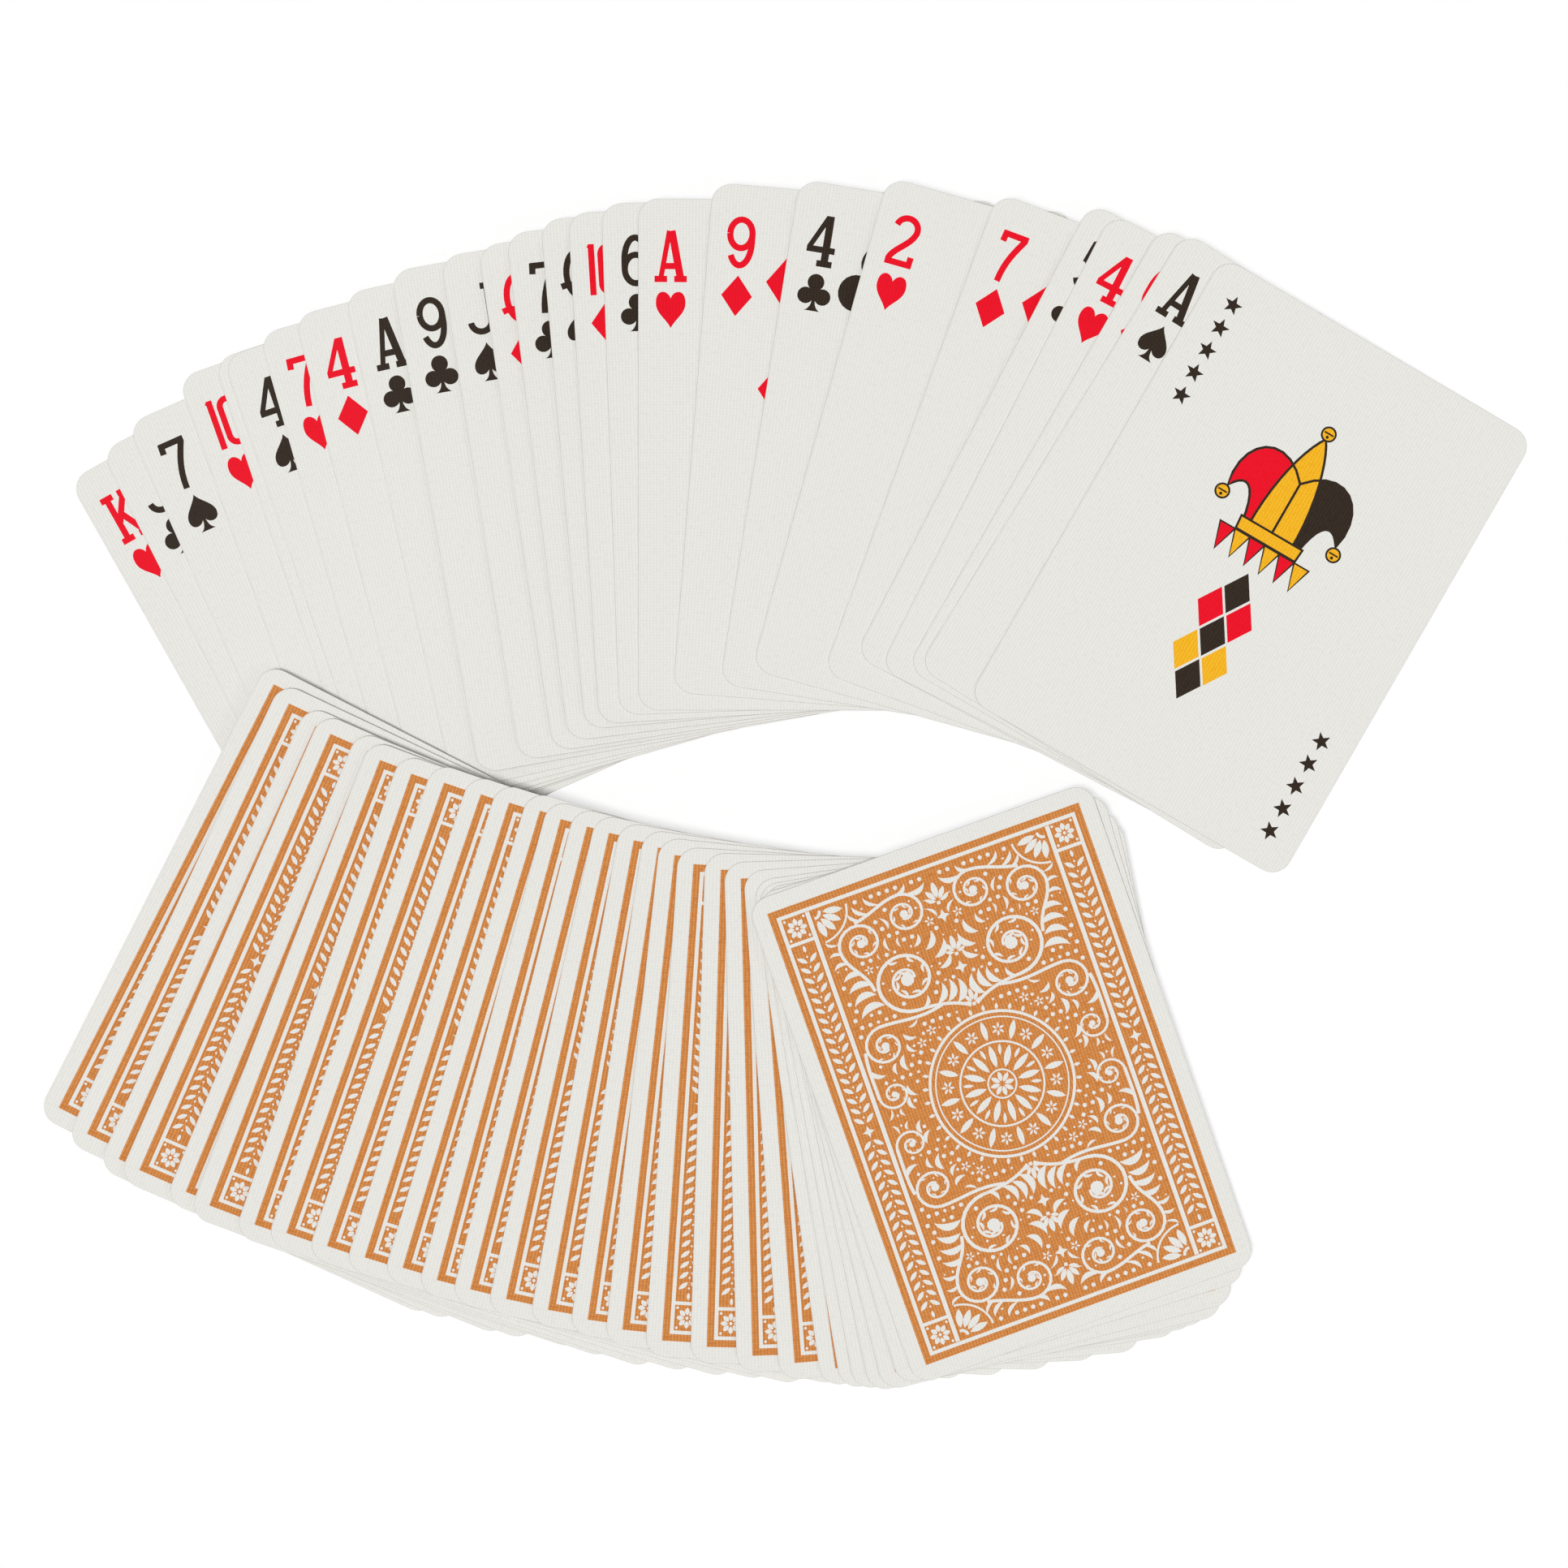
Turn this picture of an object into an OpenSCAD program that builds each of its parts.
// A full pack of poker playing cards, dealt out by hand in two overlapping fans.
// The rear fan lies face up and the front fan lies face down over its left end.
// Every card is a loose rigid plate. Millimetres, +Z up, the table is z = 0.

/* [Card] */
// Width of one card
card_width = 63.5; // [57:0.5:66]
// Length of one card
card_length = 88.9; // [84:0.1:94]
// Thickness of one card
card_thickness = 0.28; // [0.24:0.01:0.36]
// Radius of the rounded corners
corner_radius = 3.5; // [2:0.1:6]

/* [Fans] */
// How far the cards are spread apart, as a share of the spread in the photo
spread = 1; // [0.9:0.02:1.1]
// Air left between cards that lie on each other
air_gap = 0.05; // [0.04:0.01:0.1]
// How many cards at the bottom of the rear fan lie flat on each other
flat_cards = 9; // [1:1:12]
// Most that one card tilts sideways over the card before it, as a slope
tilt_step = 0.02; // [0.01:0.005:0.03]
// Steepest sideways tilt of a card, as a slope
tilt_limit = 0.11; // [0.06:0.01:0.14]
// Most that the forward slope fades from one face-down card to the next
slope_step = 0.001; // [0.001:0.001:0.004]

/* [Moves] */
// How far a face-up card can be drawn out along its length
draw_out = 45; // [10:1:60]
// How far a face-down card can be drawn out to its left
draw_aside = 25; // [10:1:30]

/* [Colours] */
// Colour of the face-up cards
face_colour = "#e6e7e2"; // ["#e6e7e2", "#ffffff", "#f2ecd8"]
// Colour of the printed backs
back_colour = "#cd7d32"; // ["#cd7d32", "#b0202a", "#2a4a90"]

/* [Hidden] */
// The cards from the bottom of the rear fan to the top of the front fan.
NODES = [
    "king_of_hearts", "jack_of_clubs", "seven_of_spades", "ten_of_hearts", "eight_of_clubs",
    "four_of_spades", "seven_of_hearts", "four_of_diamonds", "ace_of_clubs", "nine_of_clubs",
    "jack_of_spades", "queen_of_diamonds", "seven_of_clubs", "queen_of_spades", "ten_of_diamonds",
    "six_of_clubs", "ace_of_hearts", "nine_of_diamonds", "four_of_clubs", "two_of_hearts",
    "seven_of_diamonds", "five_of_clubs", "four_of_hearts", "six_of_diamonds", "ace_of_spades",
    "red_joker",
    "three_of_hearts", "ten_of_spades", "two_of_clubs", "eight_of_diamonds", "king_of_clubs",
    "five_of_spades", "queen_of_hearts", "nine_of_spades", "two_of_diamonds", "three_of_clubs",
    "jack_of_hearts", "six_of_spades", "five_of_diamonds", "king_of_spades", "eight_of_hearts",
    "ace_of_diamonds", "three_of_spades", "ten_of_clubs", "nine_of_hearts", "queen_of_clubs",
    "two_of_spades", "king_of_diamonds", "six_of_hearts", "three_of_diamonds", "jack_of_diamonds",
    "eight_of_spades", "five_of_hearts", "black_joker"
];

// Place of each card's centre along its fan, left to right, and the card's turn to the left.
rear_fan = [
    [-75.5, 29.5], [-71, 27], [-67.8, 24], [-61.2, 19.5], [-55.5, 18.5], [-53.6, 19], [-49, 16],
    [-43.7, 14.5], [-36.2, 12.5], [-29.7, 10], [-21.7, 9], [-15.5, 8.5], [-11.7, 7], [-7.2, 5],
    [-3.6, 3.5], [1.1, 2], [6, 0], [15.4, -4.5], [26.7, -9], [36.4, -15.5], [51.4, -20], [60.6, -27.5],
    [64.7, -27], [70.6, -30], [73.2, -31.5], [81.3, -30]
];
front_fan = [
    [-82.1, -27.1], [-77.8, -25.3], [-72.5, -24.6], [-69.2, -23.8], [-61.7, -22.5], [-58.3, -21.1],
    [-51.4, -19.3], [-45.8, -19.4], [-39, -18.9], [-33.1, -17.7], [-27, -16.8], [-22, -15.1], [-16.7, -14.2],
    [-11.5, -12.5], [-5.5, -10.4], [0.2, -8.5], [4.8, -6.3], [10, -3.8], [16.3, -1.7], [22, 1.4], [27.3, 4.1],
    [31.6, 7.7], [33.5, 9.5], [35, 10.5], [36.5, 11.8], [37.1, 13.8], [37.5, 16.5], [37.7, 19.4]
];
// The arch on which the centres of a fan's cards lie: place along the fan and distance from the middle.
rear_arch = [[-75.5, 29.9], [-61.2, 39.6], [-44, 46.5], [-30, 51], [-15.5, 54.3], [-11.7, 55.4], [-7.2, 56.5],
    [-3.6, 56.7], [1.1, 57.5], [6, 57.3], [15.4, 57.8], [26.7, 56.4], [36.4, 54.4], [51.4, 50.4], [60.6, 47.3],
    [73.2, 41.9], [81.3, 37.7]];
front_arch = [[-82.5, -32.4], [-72.5, -39.5], [-58.5, -44.5], [-39, -50], [-16, -54.5], [10, -57], [27.5, -57],
    [36.5, -55.7], [37.1, -54.8], [37.7, -52]];

// The card size at which these places hold; the fans grow and shrink with the cards.
poker_size = [63.5, 88.9];
rear_count = len(rear_fan);
card_count = len(NODES);
// Allowance round a footprint for the skew of a card that slopes both ways.
skew_margin = 0.4;
// Supports nearer to a card's resting edge than this do not set its slope.
least_lever = 1;
// Facets of a corner in a preview; the solids keep true arcs.
$fn = 48;

// Plan geometry: the point v turned to the left about the origin
function turned(v, angle) = [v.x * cos(angle) - v.y * sin(angle), v.x * sin(angle) + v.y * cos(angle)];

function is_rear(i) = i < rear_count;
function turn_of(i) = is_rear(i) ? rear_fan[i][1] : front_fan[i - rear_count][1];
function centre_of(i) =
    let (along = is_rear(i) ? rear_fan[i][0] : front_fan[i - rear_count][0])
    spread * [along * card_width / poker_size.x,
        lookup(along, is_rear(i) ? rear_arch : front_arch) * card_length / poker_size.y];

// Each card has plan coordinates: d to the left of its right edge, e above its lower edge.
function corner_of(i) = centre_of(i) + turned([card_width, -card_length] / 2, turn_of(i));
function to_plan(i, de) = corner_of(i) + turned([-de[0], de[1]], turn_of(i));
function to_card(i, point) = let (v = turned(point - corner_of(i), -turn_of(i))) [-v.x, v.y];

// The ground that card i can cover while it is drawn out, as limits of d and e
function reach_low(i) = [-skew_margin, -skew_margin];
function reach_high(i) = [card_width + skew_margin + (is_rear(i) ? 0 : draw_aside),
    card_length + skew_margin + (is_rear(i) ? draw_out : 0)];
function ground(i) = let (low = reach_low(i), high = reach_high(i))
    [for (de = [low, [high[0], low[1]], high, [low[0], high[1]]]) to_plan(i, de)];

// A convex outline cut at a limit of its coordinate k; side is 1 to keep what is below, -1 above
function cut(outline, k, limit, side) = [
    for (n = [0 : 1 : len(outline) - 1])
        let (p = outline[n], q = outline[(n + 1) % len(outline)],
            p_in = side * (limit - p[k]), q_in = side * (limit - q[k]))
        each concat(p_in >= 0 ? [p] : [], p_in * q_in < 0 ? [p + (q - p) * p_in / (p_in - q_in)] : [])
];
// The ground that cards i and j share, in the coordinates of card j
function shared_ground(i, j) =
    let (low = reach_low(j), high = reach_high(j))
    cut(cut(cut(cut([for (p = ground(i)) to_card(j, p)], 0, low[0], -1), 0, high[0], 1),
        1, low[1], -1), 1, high[1], 1);

// A laid card is [tilt, slope, base]: its underside is at base + tilt * d + slope * e.
function underside(laid, de) = laid[2] + laid[0] * de[0] + laid[1] * de[1];
function upright(laid) = card_thickness * sqrt(1 + laid[0] * laid[0] + laid[1] * laid[1]);

// What card i has to clear above card j, as rows of d and e on card i and a height
function supports_on(i, j, laid) = [
    for (de = shared_ground(i, j))
        let (own = to_card(i, to_plan(j, de)))
        [own[0], own[1], underside(laid, de) + upright(laid) + air_gap]
];

// A card leans on what is below it: its slope clears the rear fan with its lower end on the table,
// its tilt brings its right edge down, and its base makes up for what is left.
function lay(i, laid) =
    let (
        before = i == 0 || i == rear_count ? [0, 0, 0] : laid[i - 1],
        rear = [for (j = [0 : 1 : min(i, rear_count) - 1]) each supports_on(i, j, laid[j])],
        front = [for (j = [rear_count : 1 : i - 1]) each supports_on(i, j, laid[j])],
        supports = concat(rear, front),
        slope = is_rear(i) ? 0 : max(0, before[1] - slope_step,
            max(concat([0], [for (s = rear) if (s[1] > least_lever) (s[2] - before[0] * s[0]) / s[1]]))),
        needed = max(concat([0], [for (s = supports) if (s[0] > least_lever) (s[2] - slope * s[1]) / s[0]])),
        tilt = i < flat_cards ? 0 : min(needed, tilt_limit, before[0] + tilt_step),
        base = max(concat([0], [for (s = supports) s[2] - tilt * s[0] - slope * s[1]]))
    )
    [tilt, slope, base];
function settle(i = 0, laid = []) = i == card_count ? laid : settle(i + 1, concat(laid, [lay(i, laid)]));

laid_cards = settle();

// Plan place of a point on card i, u to the left of its right edge and v above its lower edge, as laid
function laid_point(i, u, v) =
    let (
        slope_angle = atan(laid_cards[i][1]),
        tilt_angle = atan(laid_cards[i][0] * cos(slope_angle))
    )
    to_plan(i, [u * cos(tilt_angle), v * cos(slope_angle) - u * sin(tilt_angle) * sin(slope_angle)]);
corner_centres = [
    for (i = [0 : card_count - 1], u = [corner_radius, card_width - corner_radius],
        v = [corner_radius, card_length - corner_radius]) laid_point(i, u, v)
];
// The middle of the whole spread, which becomes the origin
middle = [for (k = [0, 1]) let (places = [for (p = corner_centres) p[k]]) (min(places) + max(places)) / 2];

// A blank card with its lower right corner at the origin and its left edge towards -X
module card_blank() {
    inner_width = card_width - 2 * corner_radius;
    inner_length = card_length - 2 * corner_radius;
    translate([-card_width + corner_radius, 0, 0]) cube([inner_width, card_length, card_thickness]);
    translate([-card_width, corner_radius, 0]) cube([card_width, inner_length, card_thickness]);
    for (x = [-corner_radius, corner_radius - card_width], y = [corner_radius, card_length - corner_radius])
        translate([x, y, 0]) cylinder(r = corner_radius, h = card_thickness);
}

// Card i where it lies: tilted about its right edge, sloped about its lower edge, then turned
module laid_card(i) {
    laid = laid_cards[i];
    slope_angle = atan(laid[1]);
    tilt_angle = atan(laid[0] * cos(slope_angle));
    color(is_rear(i) ? face_colour : back_colour)
        translate([corner_of(i).x - middle.x, corner_of(i).y - middle.y, laid[2]])
            rotate([0, 0, turn_of(i)]) rotate([slope_angle, 0, 0]) rotate([0, tilt_angle, 0])
                card_blank();
}

for (i = [0 : card_count - 1])
    laid_card(i);
